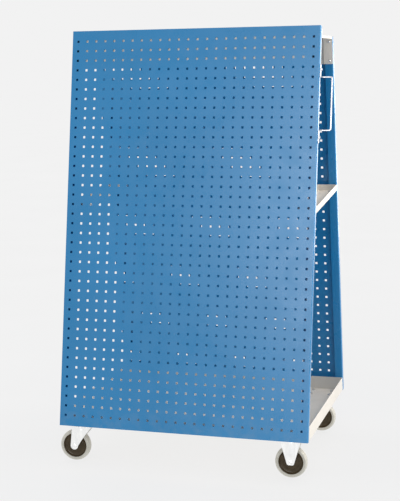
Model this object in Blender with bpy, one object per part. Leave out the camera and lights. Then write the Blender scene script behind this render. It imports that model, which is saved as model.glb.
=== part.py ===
"""Wheeled A-frame pegboard display stand: two leaning perforated panels on a castor tray.

Frame: X across the panels, Y from the front panel to the rear panel, Z up from the floor.
"""
import math

import bmesh
import bpy
from mathutils import Matrix, Vector

# ---- driving dimensions, metres -------------------------------------------------------
GAP = 0.0003                  # clearance left between neighbouring pieces
ROUND_SIDES = 24              # sides of wheels and other large round pieces
SMALL_SIDES = 12              # sides of screws, of the handle rod and of round holes
BOLT_SIDES = 6                # sides of bolts
SHARP_ANGLE = math.radians(35)

# panels
LEAN = math.radians(9.97)     # each panel leans this far from upright
HOLE_ROW_HEIGHT = 0.2095      # height of the lowest row of holes
HALF_SPREAD = 0.3928          # panel face to centre plane at the lowest row of holes
PANEL_HALF_WIDTH = 0.500
PANEL_BELOW = 0.042           # panel below the lowest row of holes, along the slope
FRONT_ABOVE = 1.524           # panel above that row, along the slope
REAR_ABOVE = 1.486
SHEET = 0.002
FLANGE_DEPTH = 0.025
LIP_WIDTH = 0.032
HOLE_PITCH = 0.038
HOLE_SIDE = 0.00925
HOLE_COLUMNS = 26
FIRST_CUT_COLUMN = 3          # every fifth hole of the grid is cut, to keep the solid light
FIRST_CUT_ROW = 2
LAST_CUT_ROW = 36
CUT_STEP = 5

# top link
LINK_BOTTOM = 1.3560          # heights above the lowest row of holes
LINK_WEB_TOP = 1.4640
LINK_FRONT_TOP = 1.4920
LINK_END_FLANGE = 0.0090
LINK_END_RETURN = 0.0100      # depth of the upstand's folded ends
LINK_TAB_WIDTH = 0.036
LINK_RECESS_DEPTH = 0.004     # middle of each leg to the panel's outer face
LINK_SCREW_X = 0.486
LINK_SCREW_HOLE = 0.0029      # radius
LINK_SCREW_HEIGHTS = (1.3688, 1.4434)

# base tray
TRAY_BOTTOM = 0.1645
TRAY_WALL = 0.0585
TRAY_FOLD = 0.0035            # size of the fold between floor and wall, outside
TRAY_CLEAR_X = (-0.330, 0.360)  # ends of the floor's clear part, between the two pairs of castors

# mid braces
BRACE_WIDTH = 0.088
BRACE_WALL = 0.027
BRACE_MID_HEIGHT = 1.0295     # underside of a brace at the centre plane
BRACE_RISE = 0.093            # rise per metre towards the rear
BRACE_BOLT_X = 0.473
BRACE_BOLT_Y = 0.189

# handle
HANDLE_ROD = 0.003
HANDLE_REACH = 0.0465
HANDLE_LOW_ARM = 1.130        # along the panel slope
HANDLE_HIGH_ARM = 1.330
HANDLE_BEND = 0.008
FOOT_LENGTH = 0.050
FOOT_WIDTH = 0.016
FOOT_THICKNESS = 0.003
FOOT_BOLTS = (1.103, 1.359)
FOOT_OVERLAP = 0.007          # foot carried on past the middle of its arm
FOOT_CORNER = 0.006

# M6 bolts of the braces and the handle
M6_RADIUS = 0.0030
M6_HALF_FLAT = 0.0050
M6_HOLE = 0.0034
M6_HEAD = 0.0040
M6_NUT = 0.0050

# castors
FIXED_X = 0.4178
SWIVEL_X = 0.4370
CASTOR_Y = 0.307
TRAIL = 0.0327
WHEEL_RADIUS = 0.0625
TYRE_HALF_WIDTH = 0.016
TYRE_INNER = 0.0490
HUB_OUTER = 0.0487
PLATE_LENGTH = 0.105
PLATE_WIDTH = 0.085
PLATE_THICKNESS = 0.003
PLATE_CORNER = 0.008
BOLT_X = 0.040
BOLT_Y = 0.030
FORK_INNER = 0.0185
FORK_SHEET = 0.003
FORK_END_RADIUS = 0.0158
SWIVEL_CROWN_HALF = 0.0400     # half the length of a fork's crown along X
FIXED_CROWN_HALF = 0.0390
CROWN_EDGE = 0.1415           # height where the fork's sides meet its crown
CROWN_CHAMFER = 0.0040
FORK_BOTTOM = 0.0400          # below both forks' ends, which their side views then trim
M8_RADIUS = 0.0040            # bolts of the castor plates
M8_HALF_FLAT = 0.0065
M8_HOLE = 0.0044
M8_HEAD = 0.0050
M8_NUT = 0.0060
AXLE_RADIUS = 0.005
PIN_RADIUS = 0.007
SWIVEL_CROWN_TOP = 0.1487

# puts the origin under the middle of the overall box, from the left tyres to the grip
ORIGIN_SHIFT_X = (SWIVEL_X + TRAIL + WHEEL_RADIUS - PANEL_HALF_WIDTH - HANDLE_REACH - HANDLE_ROD) / 2

PLATE_TOP = TRAY_BOTTOM - GAP
PLATE_BOTTOM = PLATE_TOP - PLATE_THICKNESS
FIXED_CROWN_TOP = PLATE_BOTTOM - GAP

CASTORS = (
    ("front_left", -1, -1),
    ("rear_left", -1, 1),
    ("front_right", 1, -1),
    ("rear_right", 1, 1),
)


# ---- scene and materials --------------------------------------------------------------
def clear_scene():
    for obj in list(bpy.data.objects):
        bpy.data.objects.remove(obj, do_unlink=True)


def make_material(name, colour, metallic, roughness):
    material = bpy.data.materials.new(name)
    material.use_nodes = True
    shader = material.node_tree.nodes["Principled BSDF"]
    shader.inputs["Base Color"].default_value = (*colour, 1.0)
    shader.inputs["Metallic"].default_value = metallic
    shader.inputs["Roughness"].default_value = roughness
    return material


# ---- mesh helpers ---------------------------------------------------------------------
def new_object(name, verts, faces, material=None, smooth=False):
    mesh = bpy.data.meshes.new(name)
    mesh.from_pydata([tuple(v) for v in verts], [], faces)
    bm = bmesh.new()
    bm.from_mesh(mesh)
    bmesh.ops.recalc_face_normals(bm, faces=bm.faces)
    bm.to_mesh(mesh)
    bm.free()
    obj = bpy.data.objects.new(name, mesh)
    bpy.context.scene.collection.objects.link(obj)
    if material:
        mesh.materials.append(material)
    if smooth:
        mesh.shade_smooth()
        mesh.set_sharp_from_angle(angle=SHARP_ANGLE)
    return obj


def combine(body, tool, operation):
    """Apply one exact boolean to body and remove the tool."""
    modifier = body.modifiers.new(operation, "BOOLEAN")
    modifier.operation = operation
    modifier.solver = "EXACT"
    modifier.object = tool
    graph = bpy.context.evaluated_depsgraph_get()
    result = bpy.data.meshes.new_from_object(body.evaluated_get(graph))
    body.modifiers.clear()
    body.data = result
    bpy.data.objects.remove(tool, do_unlink=True)
    return body


def finish(obj, material, smooth=False, origin=None):
    """Give a finished piece its material, its shading and its place in the frame."""
    mesh = obj.data
    mesh.materials.clear()
    mesh.materials.append(material)
    if smooth:
        mesh.shade_smooth()
        mesh.set_sharp_from_angle(angle=SHARP_ANGLE)
    if origin:
        mesh.transform(Matrix.Translation(-Vector(origin)))
        obj.location = Vector(origin)
    obj.location.x += ORIGIN_SHIFT_X
    return obj


def box_data(low, high):
    x = (low[0], high[0])
    y = (low[1], high[1])
    z = (low[2], high[2])
    verts = [(x[i], y[j], z[k]) for i in (0, 1) for j in (0, 1) for k in (0, 1)]
    faces = [(0, 1, 3, 2), (4, 6, 7, 5), (0, 4, 5, 1), (2, 3, 7, 6), (0, 2, 6, 4), (1, 5, 7, 3)]
    return verts, faces


def prism_data(outline, low, high, place):
    """Extrude a 2-D outline from low to high; place turns (a, b, c) into a point."""
    count = len(outline)
    verts = [place(a, b, low) for a, b in outline]
    verts += [place(a, b, high) for a, b in outline]
    faces = [tuple(range(count)), tuple(range(2 * count - 1, count - 1, -1))]
    for i in range(count):
        j = (i + 1) % count
        faces.append((i, j, count + j, count + i))
    return verts, faces


def joined(parts):
    verts = []
    faces = []
    for part_verts, part_faces in parts:
        start = len(verts)
        verts += part_verts
        faces += [tuple(start + index for index in face) for face in part_faces]
    return verts, faces


def circle(radius, sides, centre=(0.0, 0.0)):
    step = 2 * math.pi / sides
    return [(centre[0] + radius * math.cos(i * step), centre[1] + radius * math.sin(i * step))
            for i in range(sides)]


def stacked_data(rings, sides, place):
    """Skin rings of (height, radius, shape) along an axis, with a cap at each end."""
    verts = []
    for height, radius, shape in rings:
        for i in range(sides):
            angle = 2 * math.pi * i / sides + math.pi / 6
            reach = radius
            if shape == "hex":
                reach = radius / math.cos((angle + math.pi / 6) % (math.pi / 3) - math.pi / 6)
            verts.append(place(reach * math.cos(angle), reach * math.sin(angle), height))
    faces = [tuple(range(sides)), tuple(range(len(verts) - 1, len(verts) - sides - 1, -1))]
    for ring in range(len(rings) - 1):
        for i in range(sides):
            j = (i + 1) % sides
            a = ring * sides
            faces.append((a + i, a + j, a + sides + j, a + sides + i))
    return verts, faces


def m6_rings(head, nut):
    return [(head + M6_HEAD, M6_HALF_FLAT, "hex"), (head, M6_HALF_FLAT, "hex"), (head, M6_RADIUS, "round"),
            (nut, M6_RADIUS, "round"), (nut, M6_HALF_FLAT, "hex"), (nut - M6_NUT, M6_HALF_FLAT, "hex")]


def lathe_data(profile, sides, centre):
    """Turn a closed profile of (radius, y) about the line through centre along Y.

    The flats touch the true circle, and one of them faces straight down.
    """
    verts = []
    for i in range(sides):
        angle = 2 * math.pi * (i + 0.5) / sides
        for radius, y in profile:
            reach = radius / math.cos(math.pi / sides)
            verts.append((centre[0] + reach * math.sin(angle), centre[1] + y,
                          centre[2] - reach * math.cos(angle)))
    count = len(profile)
    faces = []
    for i in range(sides):
        j = (i + 1) % sides
        for k in range(count):
            m = (k + 1) % count
            faces.append((i * count + k, i * count + m, j * count + m, j * count + k))
    return verts, faces


# ---- places on the leaning panels -----------------------------------------------------
def on_panel(side, x, along, depth):
    """Point on a panel: side -1 is the front one, depth runs inwards from its outer face."""
    y = HALF_SPREAD - along * math.sin(LEAN) - depth * math.cos(LEAN)
    z = HOLE_ROW_HEIGHT + along * math.cos(LEAN) - depth * math.sin(LEAN)
    return (x, side * y, z)


def inner_y(height, depth):
    """Distance from the centre plane to the sheet at this depth, at a height over the floor."""
    rise = height - HOLE_ROW_HEIGHT
    return HALF_SPREAD - rise * math.tan(LEAN) - depth / math.cos(LEAN)


def along_at(height_above_row, depth):
    return (height_above_row + depth * math.sin(LEAN)) / math.cos(LEAN)


# ---- panels ---------------------------------------------------------------------------
def panel_profile():
    edge = PANEL_HALF_WIDTH
    lip = PANEL_HALF_WIDTH - LIP_WIDTH
    return [(-edge, 0.0), (edge, 0.0), (edge, FLANGE_DEPTH), (lip, FLANGE_DEPTH),
            (lip, FLANGE_DEPTH - SHEET), (edge - SHEET, FLANGE_DEPTH - SHEET),
            (edge - SHEET, SHEET), (-edge + SHEET, SHEET),
            (-edge + SHEET, FLANGE_DEPTH - SHEET), (-lip, FLANGE_DEPTH - SHEET),
            (-lip, FLANGE_DEPTH), (-edge, FLANGE_DEPTH)]


def square_hole(side, column, row):
    x = (column - (HOLE_COLUMNS - 1) / 2) * HOLE_PITCH
    along = row * HOLE_PITCH
    half = HOLE_SIDE / 2
    outline = [(x - half, along - half), (x + half, along - half),
               (x + half, along + half), (x - half, along + half)]
    return prism_data(outline, -SHEET, 2 * SHEET, lambda a, b, c: on_panel(side, a, b, c))


def screw_hole(side, x, height, radius):
    along = along_at(height, FLANGE_DEPTH)
    outline = circle(radius, SMALL_SIDES, (x, along))
    low = FLANGE_DEPTH - 2 * SHEET
    high = FLANGE_DEPTH + 3 * SHEET
    return prism_data(outline, low, high, lambda a, b, c: on_panel(side, a, b, c))


def foot_hole(along, radius):
    outline = circle(radius, SMALL_SIDES, (along, FLANGE_DEPTH / 2))
    low = PANEL_HALF_WIDTH - 2 * SHEET
    high = PANEL_HALF_WIDTH + 2 * FOOT_THICKNESS
    return prism_data(outline, low, high, lambda a, b, c: on_panel(-1, c, a, b))


def make_panel(name, side, above, material):
    verts, faces = prism_data(panel_profile(), -PANEL_BELOW, above,
                              lambda a, b, c: on_panel(side, a, c, b))
    panel = new_object(name, verts, faces)
    tools = []
    for column in range(FIRST_CUT_COLUMN, HOLE_COLUMNS, CUT_STEP):
        for row in range(FIRST_CUT_ROW, LAST_CUT_ROW + 1, CUT_STEP):
            tools.append(square_hole(side, column, row))
    for x in (-LINK_SCREW_X, LINK_SCREW_X):
        for height in LINK_SCREW_HEIGHTS:
            tools.append(screw_hole(side, x, height, LINK_SCREW_HOLE))
    if side < 0:
        for along in FOOT_BOLTS:
            tools.append(foot_hole(along, M6_HOLE))
    combine(panel, new_object("panel_holes", *joined(tools)), "DIFFERENCE")
    return finish(panel, material)


# ---- top link -------------------------------------------------------------------------
def link_leg(side, top):
    """One leg: a shallow hat section whose end tabs lie on the panel's lips."""
    edge = PANEL_HALF_WIDTH
    tab = edge - LINK_TAB_WIDTH
    near = FLANGE_DEPTH + GAP
    far = LINK_RECESS_DEPTH
    outline = [(-edge, near), (-tab, near), (-tab, far), (tab, far), (tab, near), (edge, near),
               (edge, near + SHEET), (tab - SHEET, near + SHEET), (tab - SHEET, far + SHEET),
               (-tab + SHEET, far + SHEET), (-tab + SHEET, near + SHEET), (-edge, near + SHEET)]
    low = along_at(LINK_BOTTOM, near)
    high = along_at(top, near)
    return prism_data(outline, low, high, lambda a, b, c: on_panel(side, a, c, b))


def make_top_link(material):
    link = new_object("top_link", *link_leg(-1, LINK_FRONT_TOP))
    combine(link, new_object("rear_leg", *link_leg(1, LINK_WEB_TOP)), "UNION")
    web_top = HOLE_ROW_HEIGHT + LINK_WEB_TOP - 0.0008
    web_low = web_top - SHEET
    tab = PANEL_HALF_WIDTH - LINK_TAB_WIDTH - SHEET / 2
    narrow = inner_y(web_top, FLANGE_DEPTH + GAP + SHEET / 2)
    wide = inner_y(web_top, LINK_RECESS_DEPTH + SHEET / 2)
    edge = PANEL_HALF_WIDTH - 0.0001
    combine(link, new_object("web", *box_data((-tab, -wide, web_low), (tab, wide, web_top))), "UNION")
    for sign in (-1, 1):
        inner = sign * (tab - SHEET / 4)
        outer = sign * edge
        low = (min(inner, outer), -narrow, web_low)
        high = (max(inner, outer), narrow, web_top)
        combine(link, new_object("web_end", *box_data(low, high)), "UNION")
        inner = sign * (edge - SHEET)
        low = (min(inner, outer), -narrow, web_top - LINK_END_FLANGE)
        high = (max(inner, outer), narrow, web_top - SHEET / 2)
        combine(link, new_object("end_flange", *box_data(low, high)), "UNION")
        near = FLANGE_DEPTH + GAP
        far = near + LINK_END_RETURN
        foot = along_at(LINK_WEB_TOP - SHEET, near)
        top = along_at(LINK_FRONT_TOP, near)
        outline = [(near, foot), (far, foot), (far, top), (near, top)]
        end_return = prism_data(outline, min(inner, outer), max(inner, outer),
                                lambda a, b, c: on_panel(-1, c, b, a))
        combine(link, new_object("end_return", *end_return), "UNION")
    tools = []
    for side in (-1, 1):
        for x in (-LINK_SCREW_X, LINK_SCREW_X):
            for height in LINK_SCREW_HEIGHTS:
                tools.append(screw_hole(side, x, height, LINK_SCREW_HOLE))
    combine(link, new_object("link_holes", *joined(tools)), "DIFFERENCE")
    return finish(link, material)


def make_link_screw(name, side, x, height, material):
    along = along_at(height, FLANGE_DEPTH)
    head = FLANGE_DEPTH + SHEET + 2 * GAP
    nut = FLANGE_DEPTH - SHEET - GAP
    rings = [(head + 0.0024, 0.0030, "round"), (head + 0.0010, 0.0050, "round"), (head, 0.0050, "round"),
             (head, 0.0025, "round"), (nut, 0.0025, "round"), (nut, 0.0040, "hex"),
             (nut - 0.0040, 0.0040, "hex")]
    place = lambda a, b, c: on_panel(side, x + a, along + b, c)
    screw = new_object(name, *stacked_data(rings, SMALL_SIDES, place))
    return finish(screw, material, smooth=True)


# ---- trays ----------------------------------------------------------------------------
def open_tray_data(x_low, x_high, bottom_at, wall, fold=0.0):
    """Open-topped folded tray between the panels' lips; bottom_at(y) is its underside."""
    depth = FLANGE_DEPTH + GAP

    def ends(inset, lift):
        points = []
        for side in (-1, 1):
            y = side * HALF_SPREAD
            for _ in range(20):
                y = side * (inner_y(bottom_at(y) + lift, depth) - inset)
            points.append((y, bottom_at(y) + lift))
        return points

    levels = [(0.0, 0.0), (0.0, wall), (SHEET, wall), (SHEET, SHEET)]
    if fold:
        inner = fold - SHEET / 2
        levels = [(fold, 0.0), (0.0, fold), (0.0, wall), (SHEET, wall), (SHEET, SHEET + inner),
                  (SHEET + inner, SHEET)]
    verts = []
    for inset, lift in levels:
        for y, z in ends(inset, lift):
            for x in (x_low + inset, x_high - inset):
                verts.append((x, y, z))
    last = 4 * (len(levels) - 1)
    faces = [(0, 2, 3, 1), (last, last + 1, last + 3, last + 2)]
    loop = (0, 1, 3, 2)
    for level in range(len(levels) - 1):
        for i in range(4):
            a = loop[i]
            b = loop[(i + 1) % 4]
            faces.append((level * 4 + a, level * 4 + b, level * 4 + 4 + b, level * 4 + 4 + a))
    return verts, faces


def upright_hole(x, y, radius, low, high):
    outline = circle(radius, SMALL_SIDES, (x, y))
    return prism_data(outline, low, high, lambda a, b, c: (a, b, c))


def castor_place(x_side, y_side):
    """Middle of a castor's plate: the fixed pair is on the right, the swivel pair on the left."""
    return (FIXED_X if x_side > 0 else -SWIVEL_X, y_side * CASTOR_Y)


def castor_bolt_places(x_side, y_side):
    x, y = castor_place(x_side, y_side)
    for i in (-1, 1):
        for j in (-1, 1):
            yield (x + i * BOLT_X, y + j * BOLT_Y)


def split_across(obj, x):
    """Add an edge loop in the plane at x, so that the faces on its two sides are separate."""
    bm = bmesh.new()
    bm.from_mesh(obj.data)
    everything = bm.verts[:] + bm.edges[:] + bm.faces[:]
    bmesh.ops.bisect_plane(bm, geom=everything, plane_co=(x, 0.0, 0.0), plane_no=(1.0, 0.0, 0.0))
    bm.to_mesh(obj.data)
    bm.free()


def make_base_tray(material):
    verts, faces = open_tray_data(-PANEL_HALF_WIDTH, PANEL_HALF_WIDTH, lambda y: TRAY_BOTTOM, TRAY_WALL,
                                  TRAY_FOLD)
    tray = new_object("base_tray", verts, faces)
    tools = []
    for _, x_side, y_side in CASTORS:
        for x, y in castor_bolt_places(x_side, y_side):
            tools.append(upright_hole(x, y, M8_HOLE, TRAY_BOTTOM - SHEET, TRAY_BOTTOM + 2 * SHEET))
    combine(tray, new_object("tray_holes", *joined(tools)), "DIFFERENCE")
    for x in TRAY_CLEAR_X:
        split_across(tray, x)
    return finish(tray, material)


def brace_bottom(y):
    return BRACE_MID_HEIGHT + BRACE_RISE * y


def make_mid_brace(name, x_side, material):
    outer = x_side * PANEL_HALF_WIDTH
    inner = x_side * (PANEL_HALF_WIDTH - BRACE_WIDTH)
    verts, faces = open_tray_data(min(outer, inner), max(outer, inner), brace_bottom, BRACE_WALL)
    brace = new_object(name, verts, faces)
    tools = []
    for y_side in (-1, 1):
        y = y_side * BRACE_BOLT_Y
        low = brace_bottom(y) - 2 * SHEET
        tools.append(upright_hole(x_side * BRACE_BOLT_X, y, M6_HOLE, low, low + 5 * SHEET))
    combine(brace, new_object("brace_holes", *joined(tools)), "DIFFERENCE")
    return finish(brace, material)


def make_brace_bolt(name, x_side, y_side, material):
    x = x_side * BRACE_BOLT_X
    y = y_side * BRACE_BOLT_Y
    bottom = brace_bottom(y)
    margin = 0.0011           # clears the tilted sheet under the flat head and nut
    head = bottom + SHEET + margin
    nut = bottom - margin
    rings = m6_rings(head, nut)
    bolt = new_object(name, *stacked_data(rings, BOLT_SIDES, lambda a, b, c: (x + a, y + b, c)))
    return finish(bolt, material, smooth=True)


# ---- handle ---------------------------------------------------------------------------
def handle_path():
    """Centre line of the rod as (x, along) points, with rounded corners."""
    start = PANEL_HALF_WIDTH + FOOT_THICKNESS / 2
    reach = PANEL_HALF_WIDTH + HANDLE_REACH
    points = [(start, HANDLE_LOW_ARM)]
    for corner, first in ((HANDLE_LOW_ARM, -90), (HANDLE_HIGH_ARM, 0)):
        inward = 1 if first < 0 else -1
        centre = (reach - HANDLE_BEND, corner + inward * HANDLE_BEND)
        for step in range(5):
            angle = math.radians(first + 22.5 * step)
            points.append((centre[0] + HANDLE_BEND * math.cos(angle),
                           centre[1] + HANDLE_BEND * math.sin(angle)))
    points.append((start, HANDLE_HIGH_ARM))
    return points


def make_handle(material):
    path = handle_path()
    sides = SMALL_SIDES
    verts = []
    for index, (x, along) in enumerate(path):
        before = path[max(index - 1, 0)]
        after = path[min(index + 1, len(path) - 1)]
        run = Vector((after[0] - before[0], after[1] - before[1])).normalized()
        for i in range(sides):
            angle = 2 * math.pi * i / sides
            across = HANDLE_ROD * math.cos(angle)
            depth = FLANGE_DEPTH / 2 + HANDLE_ROD * math.sin(angle)
            verts.append(on_panel(-1, x + across * run.y, along - across * run.x, depth))
    faces = [tuple(range(sides)), tuple(range(len(verts) - 1, len(verts) - sides - 1, -1))]
    for ring in range(len(path) - 1):
        for i in range(sides):
            j = (i + 1) % sides
            a = ring * sides
            faces.append((a + i, a + j, a + sides + j, a + sides + i))
    handle = new_object("handle", verts, faces)
    low_face = PANEL_HALF_WIDTH + GAP
    middle = FLANGE_DEPTH / 2
    half = FOOT_WIDTH / 2
    for arm, sign in ((HANDLE_LOW_ARM, -1), (HANDLE_HIGH_ARM, 1)):
        near = arm - sign * FOOT_OVERLAP
        far = arm + sign * FOOT_LENGTH
        corner = sign * FOOT_CORNER
        outline = [(near, middle - half), (far - corner, middle - half), (far, middle - half + FOOT_CORNER),
                   (far, middle + half - FOOT_CORNER), (far - corner, middle + half), (near, middle + half)]
        foot = prism_data(outline, low_face, low_face + FOOT_THICKNESS,
                          lambda a, b, c: on_panel(-1, c, a, b))
        combine(handle, new_object("foot", *foot), "UNION")
    tools = [foot_hole(along, M6_HOLE) for along in FOOT_BOLTS]
    combine(handle, new_object("foot_holes", *joined(tools)), "DIFFERENCE")
    return finish(handle, material, smooth=True)


def make_handle_bolt(name, along, material):
    head = PANEL_HALF_WIDTH + FOOT_THICKNESS + 2 * GAP
    nut = PANEL_HALF_WIDTH - SHEET - GAP
    rings = m6_rings(head, nut)
    middle = FLANGE_DEPTH / 2
    place = lambda a, b, c: on_panel(-1, c, along + a, middle + b)
    bolt = new_object(name, *stacked_data(rings, BOLT_SIDES, place))
    return finish(bolt, material, smooth=True)


# ---- castors --------------------------------------------------------------------------
def make_plate(name, x, y, with_pin, material):
    half_x = PLATE_LENGTH / 2
    half_y = PLATE_WIDTH / 2
    cut = PLATE_CORNER
    outline = [(x - half_x + cut, y - half_y), (x + half_x - cut, y - half_y),
               (x + half_x, y - half_y + cut), (x + half_x, y + half_y - cut),
               (x + half_x - cut, y + half_y), (x - half_x + cut, y + half_y),
               (x - half_x, y + half_y - cut), (x - half_x, y - half_y + cut)]
    plate = new_object(name, *prism_data(outline, PLATE_BOTTOM, PLATE_TOP, lambda a, b, c: (a, b, c)))
    tools = []
    for i in (-1, 1):
        for j in (-1, 1):
            tools.append(upright_hole(x + i * BOLT_X, y + j * BOLT_Y, M8_HOLE,
                                      PLATE_BOTTOM - SHEET, PLATE_TOP + SHEET))
    if with_pin:
        tools.append(upright_hole(x, y, PIN_RADIUS + GAP, PLATE_BOTTOM - SHEET, PLATE_TOP + SHEET))
    combine(plate, new_object("plate_holes", *joined(tools)), "DIFFERENCE")
    return finish(plate, material)


def make_plate_bolt(name, x, y, material):
    head = TRAY_BOTTOM + SHEET + GAP
    nut = PLATE_BOTTOM - GAP
    rings = [(head + M8_HEAD, M8_HALF_FLAT, "hex"), (head, M8_HALF_FLAT, "hex"), (head, M8_RADIUS, "round"),
             (nut, M8_RADIUS, "round"), (nut, M8_HALF_FLAT, "hex"), (nut - M8_NUT, M8_HALF_FLAT, "hex")]
    bolt = new_object(name, *stacked_data(rings, BOLT_SIDES, lambda a, b, c: (x + a, y + b, c)))
    return finish(bolt, material, smooth=True)


def make_swivel_head(name, x, y, material):
    """Ball-race housing and kingpin, riveted to the plate; the fork turns about it."""
    under = SWIVEL_CROWN_TOP - FORK_SHEET - GAP
    rings = [(PLATE_TOP - SHEET / 2, PIN_RADIUS, "round"), (PLATE_BOTTOM - GAP, PIN_RADIUS, "round"),
             (PLATE_BOTTOM - GAP, 0.0300, "round"), (0.1560, 0.0310, "round"),
             (0.1510, 0.0270, "round"), (SWIVEL_CROWN_TOP + GAP, 0.0270, "round"),
             (SWIVEL_CROWN_TOP + GAP, PIN_RADIUS, "round"), (under, PIN_RADIUS, "round"),
             (under, 0.0110, "round"), (under - 0.0030, 0.0090, "round")]
    head = new_object(name, *stacked_data(rings, ROUND_SIDES, lambda a, b, c: (x + a, y + b, c)))
    return finish(head, material, smooth=True)


def swivel_outline():
    """Side view of a swivel fork as (x from the kingpin, height): steep behind, slanting in front."""
    end = []
    for step in range(7):
        angle = math.pi + math.pi * step / 6
        end.append((FORK_END_RADIUS * math.cos(angle) - TRAIL,
                    FORK_END_RADIUS * math.sin(angle) + WHEEL_RADIUS))
    crown = SWIVEL_CROWN_HALF
    return end + [(crown, CROWN_EDGE), (crown, SWIVEL_CROWN_TOP), (-crown, SWIVEL_CROWN_TOP),
                  (-crown, CROWN_EDGE)]


def fixed_outline():
    """Side view of a fixed fork, the same on both sides of the axle."""
    right = [(0.0085, 0.0525), (0.0138, 0.0560), (0.0150, 0.0600), (0.0352, 0.1300),
             (FIXED_CROWN_HALF, CROWN_EDGE), (FIXED_CROWN_HALF, FIXED_CROWN_TOP)]
    return right + [(-x, z) for x, z in reversed(right)]


def make_fork(name, x, y, trail, material, origin=None):
    """Pressed fork: an inverted channel trimmed to its side view."""
    swivel = trail > 0
    top = SWIVEL_CROWN_TOP if swivel else FIXED_CROWN_TOP
    outer = FORK_INNER + FORK_SHEET
    inner = FORK_INNER
    cut = CROWN_CHAMFER
    channel = [(-outer, FORK_BOTTOM), (-outer, top - cut), (-outer + cut, top), (outer - cut, top),
               (outer, top - cut), (outer, FORK_BOTTOM), (inner, FORK_BOTTOM), (inner, top - FORK_SHEET),
               (-inner, top - FORK_SHEET), (-inner, FORK_BOTTOM)]
    half = PLATE_LENGTH
    fork = new_object(name, *prism_data(channel, x - half, x + half, lambda a, b, c: (c, y + a, b)))
    outline = swivel_outline() if swivel else fixed_outline()
    outline = [(a, b + SHEET) if b >= top else (a, b) for a, b in outline]
    trim = prism_data(outline, y - 2 * outer, y + 2 * outer, lambda a, b, c: (x + a, c, b))
    combine(fork, new_object("fork_side", *trim), "INTERSECT")
    axle = prism_data(circle(AXLE_RADIUS + GAP, SMALL_SIDES, (x - trail, WHEEL_RADIUS)),
                      y - 2 * outer, y + 2 * outer, lambda a, b, c: (a, c, b))
    tools = [axle]
    if swivel:
        tools.append(upright_hole(x, y, PIN_RADIUS + GAP, top - 2 * FORK_SHEET, top + FORK_SHEET))
    combine(fork, new_object("fork_holes", *joined(tools)), "DIFFERENCE")
    return finish(fork, material, origin=origin)


def make_tyre(name, centre, material):
    half = TYRE_HALF_WIDTH
    profile = [(TYRE_INNER, -0.0130), (0.0560, -half), (0.0595, -half + 0.0020), (0.0618, -0.0090),
               (WHEEL_RADIUS, -0.0040), (WHEEL_RADIUS, 0.0040), (0.0618, 0.0090),
               (0.0595, half - 0.0020), (0.0560, half), (TYRE_INNER, 0.0130)]
    tyre = new_object(name, *lathe_data(profile, ROUND_SIDES, centre))
    return finish(tyre, material, smooth=True, origin=centre)


def make_hub(name, centre, material):
    bore = AXLE_RADIUS + GAP
    half = [(bore, 0.0180), (0.0130, 0.0180), (0.0150, 0.0070), (0.0430, 0.0070), (HUB_OUTER, 0.0130)]
    profile = half + [(radius, -y) for radius, y in reversed(half)]
    hub = new_object(name, *lathe_data(profile, ROUND_SIDES, centre))
    return finish(hub, material, smooth=True, origin=centre)


def make_axle(name, centre, material):
    outer = FORK_INNER + FORK_SHEET + GAP
    rings = [(-outer - 0.0040, 0.0075, "hex"), (-outer, 0.0075, "hex"), (-outer, AXLE_RADIUS, "round"),
             (outer, AXLE_RADIUS, "round"), (outer, 0.0075, "hex"), (outer + 0.0060, 0.0075, "hex")]
    place = lambda a, b, c: (centre[0] + a, centre[1] + c, centre[2] + b)
    axle = new_object(name, *stacked_data(rings, BOLT_SIDES, place))
    return finish(axle, material, smooth=True)


def make_castor(place, x_side, y_side, colours):
    x, y = castor_place(x_side, y_side)
    swivel = x_side < 0
    trail = TRAIL if swivel else 0.0
    centre = (x - trail, y, WHEEL_RADIUS)
    make_plate("castor_plate_" + place, x, y, swivel, colours["zinc"])
    if swivel:
        make_swivel_head("swivel_head_" + place, x, y, colours["zinc"])
        make_fork("castor_fork_" + place, x, y, trail, colours["zinc"], origin=(x, y, SWIVEL_CROWN_TOP))
    else:
        make_fork("castor_fork_" + place, x, y, trail, colours["zinc"])
    make_tyre("tyre_" + place, centre, colours["rubber"])
    make_hub("hub_" + place, centre, colours["hub"])
    make_axle("axle_" + place, centre, colours["steel"])
    for number, (bolt_x, bolt_y) in enumerate(castor_bolt_places(x_side, y_side), 1):
        make_plate_bolt(f"plate_bolt_{place}_{number}", bolt_x, bolt_y, colours["steel"])


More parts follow.
